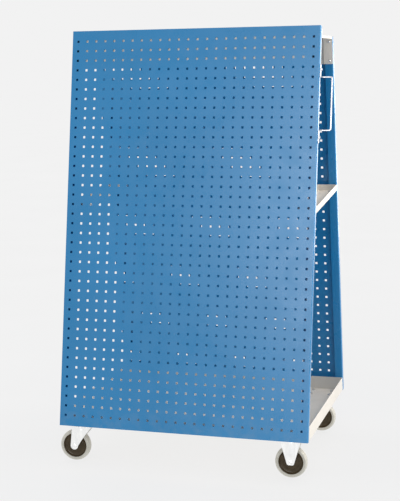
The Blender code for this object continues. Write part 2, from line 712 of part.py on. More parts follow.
# ---- the stand ------------------------------------------------------------------------
def build():
    clear_scene()
    colours = {
        "blue": make_material("blue_paint", (0.045, 0.215, 0.460), 0.0, 0.45),
        "grey": make_material("grey_paint", (0.600, 0.580, 0.540), 0.0, 0.50),
        "zinc": make_material("zinc_plate", (0.800, 0.810, 0.820), 1.0, 0.35),
        "steel": make_material("bolt_steel", (0.550, 0.550, 0.550), 1.0, 0.40),
        "rubber": make_material("grey_rubber", (0.420, 0.400, 0.360), 0.0, 0.80),
        "hub": make_material("brown_hub", (0.045, 0.035, 0.022), 0.0, 0.35),
        "handle": make_material("handle_steel", (0.700, 0.700, 0.720), 1.0, 0.30),
    }
    make_panel("front_panel", -1, FRONT_ABOVE, colours["blue"])
    make_panel("rear_panel", 1, REAR_ABOVE, colours["blue"])
    make_top_link(colours["grey"])
    for panel_name, side in (("front", -1), ("rear", 1)):
        for end_name, sign in (("left", -1), ("right", 1)):
            for level_name, height in zip(("low", "high"), LINK_SCREW_HEIGHTS):
                make_link_screw(f"link_screw_{panel_name}_{end_name}_{level_name}", side,
                                sign * LINK_SCREW_X, height, colours["steel"])
    make_base_tray(colours["grey"])
    for end_name, sign in (("left", -1), ("right", 1)):
        make_mid_brace("mid_brace_" + end_name, sign, colours["grey"])
        for panel_name, side in (("front", -1), ("rear", 1)):
            make_brace_bolt(f"brace_bolt_{panel_name}_{end_name}", sign, side, colours["steel"])
    make_handle(colours["handle"])
    for level_name, along in zip(("low", "high"), FOOT_BOLTS):
        make_handle_bolt("handle_bolt_" + level_name, along, colours["steel"])
    for place, x_side, y_side in CASTORS:
        make_castor(place, x_side, y_side, colours)


build()
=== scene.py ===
"""Looks for the wheeled pegboard display stand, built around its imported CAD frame."""
import math

import bmesh
import bpy
from mathutils import Matrix, Vector


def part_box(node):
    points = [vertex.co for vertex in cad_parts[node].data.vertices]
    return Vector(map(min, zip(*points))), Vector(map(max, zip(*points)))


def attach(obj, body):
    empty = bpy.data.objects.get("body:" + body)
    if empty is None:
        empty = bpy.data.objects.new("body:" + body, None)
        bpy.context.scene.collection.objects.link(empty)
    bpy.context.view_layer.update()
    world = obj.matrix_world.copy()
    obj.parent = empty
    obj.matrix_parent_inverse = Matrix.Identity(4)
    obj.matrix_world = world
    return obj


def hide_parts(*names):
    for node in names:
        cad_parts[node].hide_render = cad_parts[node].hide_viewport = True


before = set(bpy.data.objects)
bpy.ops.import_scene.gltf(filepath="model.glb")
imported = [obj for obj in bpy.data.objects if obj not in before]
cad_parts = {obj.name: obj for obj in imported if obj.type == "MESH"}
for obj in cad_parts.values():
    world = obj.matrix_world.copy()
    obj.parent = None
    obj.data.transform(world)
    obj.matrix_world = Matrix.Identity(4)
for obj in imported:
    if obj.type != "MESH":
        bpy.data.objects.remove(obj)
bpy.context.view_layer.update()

# ---- dimensions shared with the CAD, metres -------------------------------------------
PANEL_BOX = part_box("front_panel")
SHIFT = (PANEL_BOX[0].x + PANEL_BOX[1].x) / 2
LEAN = math.radians(9.97)
ROW_HEIGHT = 0.2095
HALF_SPREAD = 0.3928
EDGE = 0.500
BELOW = 0.042
PITCH = 0.038
COLUMNS = 26
FRONT_ROWS = 40
REAR_ROWS = 39
HOLE = 0.00925
HOLE_CORNER = 0.0011          # taken off each side of a hole at its corners
SHEET = 0.002
FOLD = 0.0022                 # fold radius at the middle of the sheet
FLANGE = 0.025
LIP = 0.032
GAP = 0.0003                  # clearance between neighbouring pieces

LINK_BOTTOM = 1.3560
LINK_TOP = 1.4632
LINK_FRONT_TOP = 1.4920
LINK_TAB = 0.036
LINK_RECESS = 0.004
LINK_BAND = 0.0090            # depth of the flange at each end of the web
LINK_RETURN = 0.0100          # depth of the upstand's folded ends
LINK_STEP = 0.004             # length of the step between a leg's tab and its recess
LINK_LEG_FOLD = 0.0015
LINK_WEB_FOLD = 0.0035
LINK_OVERLAP = 0.0002         # the web runs this far past the middle of the front leg's sheet
LINK_END = 0.012              # end flanges start this far in from the edge
LINK_TRIM = 0.0004            # and stay this far under the web and under the upstand's top
LINK_FLANGE_INSET = 0.0030    # the web's end flanges stop this far short of its folds
LINK_FLANGE_SHEET = SHEET * 0.90    # end flanges are thinner, so that no faces coincide
LINK_RETURN_SHEET = SHEET * 0.96
SCREW_X = 0.486
SCREW_HEIGHTS = (1.3688, 1.4434)

TRAY_BOTTOM = 0.1645
TRAY_WALL = 0.0585
TRAY_FOLD = 0.0045            # outer radius
TRAY_CORNER = 0.0035          # corners are cut by this much, and by less further in
TRAY_CORNER_LEAST = 0.0012
BRACE_WIDTH = 0.088
BRACE_WALL = 0.027
BRACE_FOLD = 0.0038
BRACE_HEIGHT = 1.0295
BRACE_RISE = 0.093
BRACE_BOLT = (0.473, 0.189)

ROD = 0.003
ROD_BEND = 0.0055
ROD_STEP = 0.0025             # longest stretch between two rings of the rod
ROD_BLEND = 0.014             # the rod goes from flat foot to round over this length
FOOT_HALF = 0.008
FOOT_THICK = 0.0015           # half the thickness of a flattened foot
M6_FLAT = 0.0050              # half the width across flats
M8_FLAT = 0.0065
M6_SHANK = 0.0028
M8_SHANK = 0.0038
AXLE_FLAT = 0.0062
AXLE_SHANK = 0.0050
WASHER = 0.0010
WASHER_RATIO = 1.30           # washer's radius to half the width across flats
BOLT_SIDES = 24
REACH = 0.0465
ARMS = (1.130, 1.330)
FOOT = 0.050
FOOT_BOLTS = (1.103, 1.359)

WHEEL = 0.0625
TRAIL = 0.0327
BOLT_X = 0.040
BOLT_Y = 0.030
PLATE_TOP = TRAY_BOTTOM - GAP
PLATE = 0.003
PLATE_HALF_X = 0.0525
PLATE_HALF_Y = 0.0425
PLATE_CORNER = 0.009
PLATE_EDGE = 0.0005           # its worn edges
FORK_INNER = 0.0185
FORK_SHEET = 0.003
FORK_END = 0.0158             # radius of a swivel fork's end about the axle
FORK_BEND = 0.0060
FORK_STEP = 0.0030            # longest stretch between two rows of a fork's points
RIB_LIFT = 0.0016
RIB_START = 0.085             # height at which a leg's rib begins
RIB_RUN_IN = 0.012
RIB_RUN_OUT = 0.010           # it fades over this length and ends this far under the crown
RIB_HALF = 0.16               # half its width, as a share of the leg's width
FORK_CLEAR = 0.0655           # edges turn in only outside this radius about the axle
FORK_TURNED = 0.009           # and by this much at most
CROWN_EDGE = 0.1415
FIXED_CROWN = 0.0390
SWIVEL_CROWN = 0.0400
FIXED_FORK_LOW = 0.0525
SWIVEL_FORK_LOW = WHEEL - 0.0154
SWIVEL_TOP = 0.1487
KINGPIN = 0.0070
KINGPIN_HOLE = KINGPIN + 0.0004
KINGPIN_NUT = 0.0100
WHEEL_SIDES = 96
RACE_SIDES = 48
DRILL_SIDES = 32
CORNERS = ("front_left", "rear_left", "front_right", "rear_right")


# ---- material nodes -------------------------------------------------------------------
class Look:
    """A Principled material with a few helpers for its procedural nodes."""

    def __init__(self, name, metallic=0.0):
        self.material = bpy.data.materials.new(name)
        self.material.use_nodes = True
        self.tree = self.material.node_tree
        self.shader = self.tree.nodes["Principled BSDF"]
        self.shader.inputs["Metallic"].default_value = metallic
        self.coords = self.tree.nodes.new("ShaderNodeTexCoord")

    def link(self, output, socket):
        self.tree.links.new(output, socket)

    def noise(self, scale, detail=3.0, stretch=(1, 1, 1), turn=(0, 0, 0)):
        """Noise in object space, stretched or turned where a pattern runs one way."""
        mapping = self.tree.nodes.new("ShaderNodeMapping")
        mapping.inputs["Scale"].default_value = stretch
        mapping.inputs["Rotation"].default_value = turn
        texture = self.tree.nodes.new("ShaderNodeTexNoise")
        texture.inputs["Scale"].default_value = scale
        texture.inputs["Detail"].default_value = detail
        self.link(self.coords.outputs["Object"], mapping.inputs["Vector"])
        self.link(mapping.outputs["Vector"], texture.inputs["Vector"])
        return texture.outputs["Fac"]

    def spread(self, value, start, end, low=0.0, high=1.0):
        """The stretch from start to end mapped to low to high, and held outside it."""
        node = self.tree.nodes.new("ShaderNodeMapRange")
        self.link(value, node.inputs["Value"])
        node.inputs["From Min"].default_value = start
        node.inputs["From Max"].default_value = end
        node.inputs["To Min"].default_value = low
        node.inputs["To Max"].default_value = high
        return node.outputs["Result"]

    def blend(self, factor, first, second):
        """Mix of two colours, each a tuple or another node's output."""
        node = self.tree.nodes.new("ShaderNodeMix")
        node.data_type = "RGBA"
        self.link(factor, node.inputs["Factor"])
        for value, socket in ((first, node.inputs["A"]), (second, node.inputs["B"])):
            if isinstance(value, tuple):
                socket.default_value = (*value, 1.0)
            else:
                self.link(value, socket)
        return node.outputs["Result"]

    def bump(self, height, strength, distance, normal=None):
        node = self.tree.nodes.new("ShaderNodeBump")
        node.inputs["Strength"].default_value = strength
        node.inputs["Distance"].default_value = distance
        self.link(height, node.inputs["Height"])
        if normal:
            self.link(normal, node.inputs["Normal"])
        return node.outputs["Normal"]

    def height(self):
        split = self.tree.nodes.new("ShaderNodeSeparateXYZ")
        self.link(self.coords.outputs["Object"], split.inputs["Vector"])
        return split.outputs["Z"]

    def product(self, first, second):
        node = self.tree.nodes.new("ShaderNodeMath")
        node.operation = "MULTIPLY"
        self.link(first, node.inputs[0])
        self.link(second, node.inputs[1])
        return node.outputs["Value"]

    def finish(self, colour, roughness, normal=None):
        self.link(colour, self.shader.inputs["Base Color"])
        self.link(roughness, self.shader.inputs["Roughness"])
        if normal:
            self.link(normal, self.shader.inputs["Normal"])
        return self.material


def scaled(colour, factor):
    """A lighter or darker version of a colour."""
    return tuple(min(channel * factor, 1.0) for channel in colour)


def powder_coat(name, colour, rough, scuff):
    """Powder coat: fine orange peel, slow shade changes, hairline scuffs and a little dust low down."""
    look = Look(name)
    slow = look.spread(look.noise(2.3, 2.0), 0.35, 0.65)
    base = look.blend(slow, scaled(colour, 0.965), scaled(colour, 1.035))
    speck = look.spread(look.noise(1500.0, 1.0), 0.60, 0.72, 0.0, 0.10)
    base = look.blend(speck, base, scaled(colour, 1.35))
    hair = look.spread(look.noise(5.0, 4.0, (60, 60, 2.2), (0.25, 0.12, 0.0)), 0.66, 0.70)
    patch = look.spread(look.noise(4.0, 1.0), 0.50, 0.62, 0.0, scuff)
    hair = look.product(hair, patch)
    base = look.blend(hair, base, (0.62, 0.63, 0.62))
    dust = look.spread(look.height(), 0.30, 0.165, 0.0, 1.0)
    dust = look.product(dust, look.spread(look.noise(30.0, 4.0), 0.42, 0.70, 0.0, 0.10))
    base = look.blend(dust, base, (0.42, 0.40, 0.36))
    roughness = look.spread(look.noise(14.0, 4.0), 0.3, 0.7, rough - 0.05, rough + 0.07)
    peel = look.bump(look.noise(620.0, 2.0), 0.16, 0.00025)
    normal = look.bump(hair, 0.20, 0.00010, peel)
    look.shader.inputs["Specular IOR Level"].default_value = 0.42
    return look.finish(base, roughness, normal)


def plated(name, colour, tint, rough, grain=0.10):
    """Zinc or chrome on steel: spangle tint, rolling grain and small handling marks."""
    look = Look(name, 1.0)
    tone = look.spread(look.noise(38.0, 3.0), 0.35, 0.65)
    base = look.blend(tone, colour, tint)
    spots = look.spread(look.noise(420.0, 2.0), 0.66, 0.74, 0.0, 0.25)
    base = look.blend(spots, base, scaled(colour, 0.62))
    marks = look.noise(90.0, 4.0, (1, 1, 0.06))
    roughness = look.spread(marks, 0.3, 0.7, rough - 0.07, rough + 0.10)
    normal = look.bump(look.noise(900.0, 3.0, (1, 1, 0.15)), grain, 0.00008)
    return look.finish(base, roughness, normal)


def grey_rubber(name):
    """Non-marking grey rubber with a worn, dusty tread."""
    look = Look(name)
    tone = look.spread(look.noise(45.0, 4.0), 0.35, 0.68)
    base = look.blend(tone, (0.550, 0.535, 0.475), (0.620, 0.605, 0.545))
    dust = look.spread(look.noise(240.0, 3.0), 0.60, 0.74, 0.0, 0.45)
    base = look.blend(dust, base, (0.33, 0.31, 0.27))
    roughness = look.spread(look.noise(70.0, 3.0), 0.3, 0.7, 0.56, 0.74)
    fine = look.bump(look.noise(1300.0, 2.0), 0.22, 0.00015)
    normal = look.bump(look.noise(160.0, 3.0), 0.12, 0.0003, fine)
    return look.finish(base, roughness, normal)


def hub_plastic(name):
    """Moulded dark brown plastic with flow marks."""
    look = Look(name)
    tone = look.spread(look.noise(60.0, 3.0), 0.35, 0.65)
    base = look.blend(tone, (0.045, 0.030, 0.012), (0.064, 0.044, 0.020))
    specks = look.spread(look.noise(600.0, 2.0), 0.64, 0.72, 0.0, 0.35)
    base = look.blend(specks, base, (0.10, 0.08, 0.05))
    roughness = look.spread(look.noise(35.0, 4.0), 0.3, 0.7, 0.20, 0.34)
    normal = look.bump(look.noise(500.0, 2.0), 0.10, 0.0002)
    look.shader.inputs["Specular IOR Level"].default_value = 0.28
    return look.finish(base, roughness, normal)


BLUE = powder_coat("blue_powder_coat", (0.014, 0.208, 0.468), 0.28, 0.08)
GREY = powder_coat("grey_powder_coat", (0.745, 0.708, 0.645), 0.44, 0.12)
ZINC = plated("bright_zinc", (0.95, 0.95, 0.935), (0.90, 0.905, 0.905), 0.30)
BOLT = plated("bolt_zinc", (0.74, 0.74, 0.72), (0.66, 0.67, 0.70), 0.30, 0.18)
CHROME = plated("handle_chrome", (0.64, 0.64, 0.67), (0.57, 0.58, 0.62), 0.20, 0.05)
RUBBER = grey_rubber("tyre_rubber")
PLASTIC = hub_plastic("hub_plastic")


# ---- mesh helpers ---------------------------------------------------------------------
LIT = bpy.data.collections.new("lit_pieces")


def add_piece(name, data, material, body, stands_for, soften=0.0, smooth=35):
    """One visible piece that rides on a body and stands for a CAD node."""
    mesh = bpy.data.meshes.new(name)
    mesh.from_pydata([tuple(v) for v in data[0]], [], data[1])
    bm = bmesh.new()
    bm.from_mesh(mesh)
    bmesh.ops.remove_doubles(bm, verts=bm.verts, dist=1e-6)
    bmesh.ops.recalc_face_normals(bm, faces=bm.faces)
    if soften:
        sharp = [e for e in bm.edges if e.is_manifold and e.calc_face_angle() > math.radians(40)]
        bmesh.ops.bevel(bm, geom=sharp, offset=soften, segments=2, affect="EDGES", profile=0.5,
                        clamp_overlap=True)
    bm.to_mesh(mesh)
    bm.free()
    mesh.materials.append(material)
    mesh.shade_smooth()
    mesh.set_sharp_from_angle(angle=math.radians(smooth))
    obj = bpy.data.objects.new(name, mesh)
    bpy.context.scene.collection.objects.link(obj)
    LIT.objects.link(obj)
    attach(obj, body)
    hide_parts(stands_for)
    return obj


def joined(*parts):
    """Several meshes as one."""
    verts = []
    faces = []
    for part_verts, part_faces in parts:
        start = len(verts)
        verts += part_verts
        faces += [tuple(start + i for i in face) for face in part_faces]
    return verts, faces


def bent_path(points, radius, steps=5, longest=None):
    """Polyline with rounded corners, as (x, y, normal x, normal y); the normal is on the left."""
    out = []

    def add(x, y, direction):
        out.append((x, y, -direction.y, direction.x))

    vectors = [Vector(p) for p in points]
    runs = [(b - a).normalized() for a, b in zip(vectors, vectors[1:])]
    add(*vectors[0], runs[0])
    for corner, before, after in zip(vectors[1:-1], runs, runs[1:]):
        turn = math.atan2(before.cross(after), before.dot(after))
        reach = radius * math.tan(abs(turn) / 2)
        side = math.copysign(1.0, turn)
        centre = corner - before * reach + Vector((-before.y, before.x)) * side * radius
        for step in range(steps + 1):
            angle = turn * step / steps
            ahead = Matrix.Rotation(angle, 2) @ before
            place = centre - Vector((-ahead.y, ahead.x)) * side * radius
            add(place.x, place.y, ahead)
    add(*vectors[-1], runs[-1])
    if not longest:
        return out
    dense = [out[0]]
    for a, b in zip(out, out[1:]):
        parts = max(1, math.ceil(math.hypot(b[0] - a[0], b[1] - a[1]) / longest))
        dense += [tuple(p + (q - p) * k / parts for p, q in zip(a, b)) for k in range(1, parts + 1)]
    return dense


def slab(outer, inner, hole=None):
    """Closed sheet between two equal grids of points; hole(i, j) gives a ring of cell positions or None."""
    rows = len(outer)
    columns = len(outer[0])
    verts = [p for row in outer for p in row] + [p for row in inner for p in row]
    back = rows * columns
    faces = []
    for i in range(rows - 1):
        for j in range(columns - 1):
            cell = (i * columns + j, (i + 1) * columns + j, (i + 1) * columns + j + 1, i * columns + j + 1)
            ring = hole(i, j) if hole else None
            if not ring:
                faces.append(cell)
                faces.append(tuple(back + k for k in reversed(cell)))
                continue
            starts = []
            for offset in (0, back):
                starts.append(len(verts))
                a, b, c, d = (Vector(verts[offset + k]) for k in cell)
                for u, v in ring:
                    verts.append((a * (1 - u) + b * u) * (1 - v) + (d * (1 - u) + c * u) * v)
                for side in range(4):
                    p, q = cell[side] + offset, cell[(side + 1) % 4] + offset
                    first = starts[-1] + (2 * side + 1) % 8
                    second = starts[-1] + (2 * side + 2) % 8
                    faces.append((p, q, second, first))
                    faces.append((q, starts[-1] + (2 * side + 3) % 8, second))
            for k in range(8):
                m = (k + 1) % 8
                faces.append((starts[0] + k, starts[0] + m, starts[1] + m, starts[1] + k))
    rim = [i * columns for i in range(rows)]
    rim += [(rows - 1) * columns + j for j in range(1, columns)]
    rim += [i * columns + columns - 1 for i in range(rows - 2, -1, -1)]
    rim += [j for j in range(columns - 2, 0, -1)]
    for a, b in zip(rim, rim[1:] + rim[:1]):
        faces.append((a, b, back + b, back + a))
    return verts, faces


def swept_sheet(path, thickness, stations, place, hole=None):
    """Sheet whose folded path (a, b, normal) is carried along stations; place(a, b, c) gives the point."""
    half = thickness / 2
    outer = [[place(a + na * half, b + nb * half, c) for c in stations] for a, b, na, nb in path]
    inner = [[place(a - na * half, b - nb * half, c) for c in stations] for a, b, na, nb in path]
    return slab(outer, inner, hole)


def skinned(verts, count):
    """Closed mesh over rings of count points each, with both ends capped."""
    total = len(verts)
    faces = [tuple(range(count)), tuple(range(total - 1, total - count - 1, -1))]
    for start in range(0, total - count, count):
        for k in range(count):
            m = (k + 1) % count
            faces.append((start + k, start + m, start + count + m, start + count + k))
    return verts, faces


def stack(rings, sides, place):
    """Rings of (height, radius, hex or round) skinned along an axis, with capped ends."""
    verts = []
    for height, radius, shape in rings:
        for k in range(sides):
            angle = 2 * math.pi * k / sides
            reach = radius
            if shape == "hex":
                reach = radius / math.cos((angle + math.pi / 6) % (math.pi / 3) - math.pi / 6)
            verts.append(place(reach * math.cos(angle), reach * math.sin(angle), height))
    return skinned(verts, sides)


def lathe(profile, sides, centre):
    """Closed profile of (radius, y) turned about the line through centre along Y."""
    verts = []
    for k in range(sides):
        angle = 2 * math.pi * k / sides
        for radius, y in profile:
            verts.append((centre[0] + radius * math.sin(angle), centre[1] + y,
                          centre[2] - radius * math.cos(angle)))
    count = len(profile)
    faces = []
    for k in range(sides):
        m = (k + 1) % sides
        for p in range(count):
            q = (p + 1) % count
            faces.append((k * count + p, k * count + q, m * count + q, m * count + p))
    return verts, faces


def on_panel(side, x, along, depth):
    """Point at x, along the slope from the lowest row of holes and depth in from the outer face."""
    y = HALF_SPREAD - along * math.sin(LEAN) - depth * math.cos(LEAN)
    z = ROW_HEIGHT + along * math.cos(LEAN) - depth * math.sin(LEAN)
    return (x + SHIFT, side * y, z)


def inner_y(height, depth):
    """How far from the centre plane a panel's surface at that depth is, at a height."""
    return HALF_SPREAD - (height - ROW_HEIGHT) * math.tan(LEAN) - depth / math.cos(LEAN)


def along_at(height, depth):
    """Distance along the slope of the point that is height above the lowest row, at that depth."""
    return (height + depth * math.sin(LEAN)) / math.cos(LEAN)


# ---- panels ---------------------------------------------------------------------------
def panel(name, side, rows, node):
    """Folded panel with its full grid of square holes."""
    middle = SHEET / 2
    corner = bent_path([(EDGE - LIP, FLANGE - middle), (EDGE - middle, FLANGE - middle),
                        (EDGE - middle, middle), (0.0, middle)], FOLD)[:-1]
    face = [((COLUMNS / 2 - k) * PITCH, middle, 0.0, -1.0) for k in range(COLUMNS + 1)]
    path = corner + face + [(-x, d, -nx, nd) for x, d, nx, nd in reversed(corner)]
    first = len(corner)
    lines = [-BELOW] + [(k - 0.5) * PITCH for k in range(rows + 1)] + [(rows - 1) * PITCH + BELOW]
    inset = (1 - HOLE / PITCH) / 2
    near, far = inset, 1 - inset
    cut = HOLE_CORNER / PITCH
    ring = [(near, near + cut), (near + cut, near), (far - cut, near), (far, near + cut),
            (far, far - cut), (far - cut, far), (near + cut, far), (near, far - cut)]

    def hole(i, j):
        inside = first <= i < first + COLUMNS and 1 <= j <= rows
        return ring if inside else None

    data = swept_sheet(path, SHEET, lines, lambda x, d, s: on_panel(side, x, s, d), hole)
    add_piece(name, data, BLUE, "stand", node)


# ---- top link -------------------------------------------------------------------------
def top_link():
    """Front leg, web and rear leg, each a folded sheet, welded along the front fold."""
    half = SHEET / 2
    near = FLANGE + GAP + half
    far = LINK_RECESS + half
    tab = EDGE - LINK_TAB
    right = [(0.0, far), (tab - LINK_STEP, far), (tab, near), (EDGE, near)]
    left = [(-x, d) for x, d in reversed(right[1:])]
    leg = bent_path(left + right, LINK_LEG_FOLD, 3)
    front_top = along_at(LINK_FRONT_TOP, near)

    def on_front(x, d, s):
        return on_panel(-1, x, s, d)

    front = swept_sheet(leg, SHEET, (along_at(LINK_BOTTOM, near), front_top), on_front)
    top = ROW_HEIGHT + LINK_TOP - half
    low = ROW_HEIGHT + LINK_BOTTOM

    def section(depth):
        """Web and rear leg in the YZ plane, from the front fold to the foot of the rear leg."""
        return bent_path([(-inner_y(top, depth) - LINK_OVERLAP, top), (inner_y(top, depth), top),
                          (inner_y(low, depth), low)], LINK_WEB_FOLD, 5)

    stations = [(-EDGE + GAP, near), (-tab, near), (-tab + LINK_STEP, far),
                (tab - LINK_STEP, far), (tab, near), (EDGE - GAP, near)]
    sections = [section(depth) for x, depth in stations]
    outer = []
    inner = []
    for line in zip(*sections):
        outer.append([])
        inner.append([])
        for (x, _), (y, z, ny, nz) in zip(stations, line):
            outer[-1].append((x + SHIFT, y + ny * half, z + nz * half))
            inner[-1].append((x + SHIFT, y - ny * half, z - nz * half))
    parts = [front, slab(outer, inner)]
    reach = inner_y(top, near) - LINK_FLANGE_INSET
    level = top - LINK_TRIM
    heights = (along_at(LINK_TOP, near), front_top - LINK_TRIM)
    for sign in (-1, 1):
        inside = sign * (EDGE - LINK_END)
        end = sign * (EDGE - half)
        flange = bent_path([(inside, level), (end, level), (end, ROW_HEIGHT + LINK_TOP - LINK_BAND)],
                           FOLD, 4)
        parts.append(swept_sheet(flange, LINK_FLANGE_SHEET, (-reach, reach),
                                 lambda a, b, c: (a + SHIFT, c, b)))
        turned = bent_path([(inside, near), (end, near), (end, near - half + LINK_RETURN)], FOLD, 4)
        parts.append(swept_sheet(turned, LINK_RETURN_SHEET, heights, on_front))
    add_piece("top_link_folded", joined(*parts), GREY, "stand", "top_link")


def link_screw(node, side, x, height):
    """Button-head screw with a hex socket, and its nut behind the lip."""
    along = along_at(height, FLANGE)
    head = FLANGE + SHEET + 2 * GAP
    nut = FLANGE - SHEET - GAP
    rings = [(head + 0.0008, 0.0017, "hex"), (head + 0.0022, 0.0018, "hex"),
             (head + 0.0024, 0.0024, "round"), (head + 0.0022, 0.0033, "round"),
             (head + 0.0015, 0.0045, "round"), (head + 0.0005, 0.0050, "round"),
             (head, 0.0048, "round"), (head, 0.0025, "round"),
             (nut, 0.0025, "round"), (nut, 0.0040, "hex"), (nut - 0.0035, 0.0040, "hex"),
             (nut - 0.0040, 0.0036, "round"), (nut - 0.0040, 0.0025, "round"),
             (nut - 0.0052, 0.0024, "round")]
    data = stack(rings, BOLT_SIDES, lambda a, b, c: on_panel(side, x + a, along + b, c))
    add_piece(node + "_button", data, BOLT, "stand", node)


def hex_bolt(node, top, bottom, size, shank, place, material=None, body="stand", tail=0.003):
    """Hex bolt with washers either side of what it clamps, from top to bottom, and a proud thread end."""
    head = top + WASHER
    nut = bottom - WASHER
    nut_end = nut - size * 0.80
    wide = size * WASHER_RATIO
    rings = [(head + size * 0.62, size * 0.70, "round"), (head + size * 0.66, size * 0.88, "round"),
             (head + size * 0.54, size, "hex"), (head, size, "hex"), (head, wide, "round"),
             (top, wide, "round"), (top, shank, "round"), (bottom, shank, "round"),
             (bottom, wide, "round"), (nut, wide, "round"), (nut, size, "hex"),
             (nut - size * 0.72, size, "hex"), (nut_end, size * 0.88, "round"),
             (nut_end, shank, "round"), (nut_end - tail, shank, "round"),
             (nut_end - tail - 0.0006, shank * 0.75, "round")]
    add_piece(node + "_hex", stack(rings, BOLT_SIDES, place), material or BOLT, body, node)


# ---- trays ----------------------------------------------------------------------------
def tray_data(x_low, x_high, bottom_at, wall, radius):
    """Open-topped tray with rolled folds, its long sides leaning with the panels' lips."""
    steps = 4
    worn = 0.0005
    section = []
    for k in range(steps + 1):
        angle = math.pi / 2 * k / steps
        section.append((radius * (1 - math.sin(angle)), radius * (1 - math.cos(angle))))
    section += [(0.0, wall - worn), (worn, wall), (SHEET - worn, wall), (SHEET, wall - worn)]
    tight = radius - SHEET
    for k in range(steps, -1, -1):
        angle = math.pi / 2 * k / steps
        section.append((SHEET + tight * (1 - math.sin(angle)), SHEET + tight * (1 - math.cos(angle))))
    verts = []
    for inset, lift in section:
        ends = []
        for side in (-1, 1):
            y = side * HALF_SPREAD
            # a sloping floor's height depends on y and the wall's y on that height, so y is iterated
            for _ in range(20):
                y = side * (inner_y(bottom_at(y) + lift, FLANGE + GAP) - inset)
            ends.append(y)
        cut = max(TRAY_CORNER - inset, TRAY_CORNER_LEAST)
        left, right = x_low + inset, x_high - inset
        for cx, cy, dx, dy in ((left, ends[0], 1, 1), (right, ends[0], -1, 1),
                               (right, ends[1], -1, -1), (left, ends[1], 1, -1)):
            corner = [(cx, cy + dy * cut), (cx + dx * cut * 0.3, cy + dy * cut * 0.3), (cx + dx * cut, cy)]
            for x, y in corner if dx == dy else reversed(corner):
                verts.append((x + SHIFT, y, bottom_at(y) + lift))
    return skinned(verts, len(verts) // len(section))


def brace_bottom(y):
    """Underside of a mid brace."""
    return BRACE_HEIGHT + BRACE_RISE * y


def trays():
    """Base tray, and a brace at each end with its bolts square to its sloping floor."""
    data = tray_data(-EDGE, EDGE, lambda y: TRAY_BOTTOM, TRAY_WALL, TRAY_FOLD)
    add_piece("base_tray_folded", data, GREY, "stand", "base_tray")
    tilt = math.atan(BRACE_RISE)
    for end, sign in (("left", -1), ("right", 1)):
        outer = sign * EDGE
        inner = sign * (EDGE - BRACE_WIDTH)
        data = tray_data(min(outer, inner), max(outer, inner), brace_bottom, BRACE_WALL, BRACE_FOLD)
        add_piece("mid_brace_folded_" + end, data, GREY, "stand", "mid_brace_" + end)
        for panel_name, side in (("front", -1), ("rear", 1)):
            x = sign * BRACE_BOLT[0] + SHIFT
            y = side * BRACE_BOLT[1]
            z = brace_bottom(y) + SHEET / 2

            def place(a, b, c, x=x, y=y, z=z):
                return (x + a, y + b * math.cos(tilt) - c * math.sin(tilt),
                        z + b * math.sin(tilt) + c * math.cos(tilt))

            hex_bolt(f"brace_bolt_{panel_name}_{end}", SHEET / 2, -SHEET / 2, M6_FLAT, M6_SHANK, place,
                     tail=0.0015)


# ---- handle ---------------------------------------------------------------------------
def handle():
    """Bent rod whose ends are flattened into feet along the panel's flange."""
    base = EDGE + GAP + FOOT_THICK
    reach = EDGE + REACH
    path = bent_path([(base, ARMS[0] - FOOT), (base, ARMS[0]), (reach, ARMS[0]), (reach, ARMS[1]),
                      (base, ARMS[1]), (base, ARMS[1] + FOOT)], ROD_BEND, 7, ROD_STEP)
    verts = []
    ends = (ARMS[0] - FOOT, ARMS[1] + FOOT)
    for x, along, nx, ns in path:
        flat = 1 - min(max((x - base) / ROD_BLEND, 0.0), 1.0)
        flat = flat * flat * (3 - 2 * flat)
        wide = ROD + (FOOT_HALF - ROD) * flat
        thick = ROD + (FOOT_THICK - ROD) * flat
        power = 1 - 0.45 * flat    # 1 is an ellipse, and less is squarer
        to_end = min(abs(along - ends[0]), abs(along - ends[1]))
        if to_end < FOOT_HALF:
            wide *= math.sqrt(max(1 - (1 - to_end / FOOT_HALF) ** 2, 0.01))
        for k in range(BOLT_SIDES):
            angle = 2 * math.pi * k / BOLT_SIDES
            across = math.copysign(abs(math.cos(angle)) ** power, math.cos(angle)) * wide
            out = math.copysign(abs(math.sin(angle)) ** power, math.sin(angle)) * thick
            verts.append(on_panel(-1, x + nx * out, along + ns * out, FLANGE / 2 + across))
    add_piece("handle_rod", skinned(verts, BOLT_SIDES), CHROME, "stand", "handle", smooth=50)
    for level, along in zip(("low", "high"), FOOT_BOLTS):
        hex_bolt("handle_bolt_" + level, EDGE + GAP + 2 * FOOT_THICK, EDGE - SHEET, M6_FLAT, M6_SHANK,
                 lambda a, b, c, along=along: on_panel(-1, c, along + a, FLANGE / 2 + b), tail=0.002)


# ---- castors --------------------------------------------------------------------------
def fixed_limits(z):
    """Left and right edges of the fixed fork at a height."""
    points = ((FIXED_FORK_LOW, 0.0085), (0.0535, 0.0115), (0.0560, 0.0138), (0.0600, 0.0150),
              (0.1300, 0.0352), (CROWN_EDGE, FIXED_CROWN), (0.1700, FIXED_CROWN))
    for (z0, w0), (z1, w1) in zip(points, points[1:]):
        if z <= z1:
            half = w0 + (w1 - w0) * max(z - z0, 0.0) / (z1 - z0)
            return -half, half
    return -FIXED_CROWN, FIXED_CROWN


def swivel_limits(z):
    """Steep left edge and slanting right edge, from a round end about the axle to an even crown."""
    if z < WHEEL:
        half = math.sqrt(max(FORK_END ** 2 - (WHEEL - z) ** 2, 0.004 ** 2))
        return -TRAIL - half, -TRAIL + half
    rise = min((z - WHEEL) / (CROWN_EDGE - WHEEL), 1.0)
    soft = 0.0020 * math.sin(math.pi * rise)
    left = -TRAIL - FORK_END + (TRAIL + FORK_END - SWIVEL_CROWN) * rise
    return left, -TRAIL + FORK_END + (SWIVEL_CROWN + TRAIL - FORK_END) * rise - soft


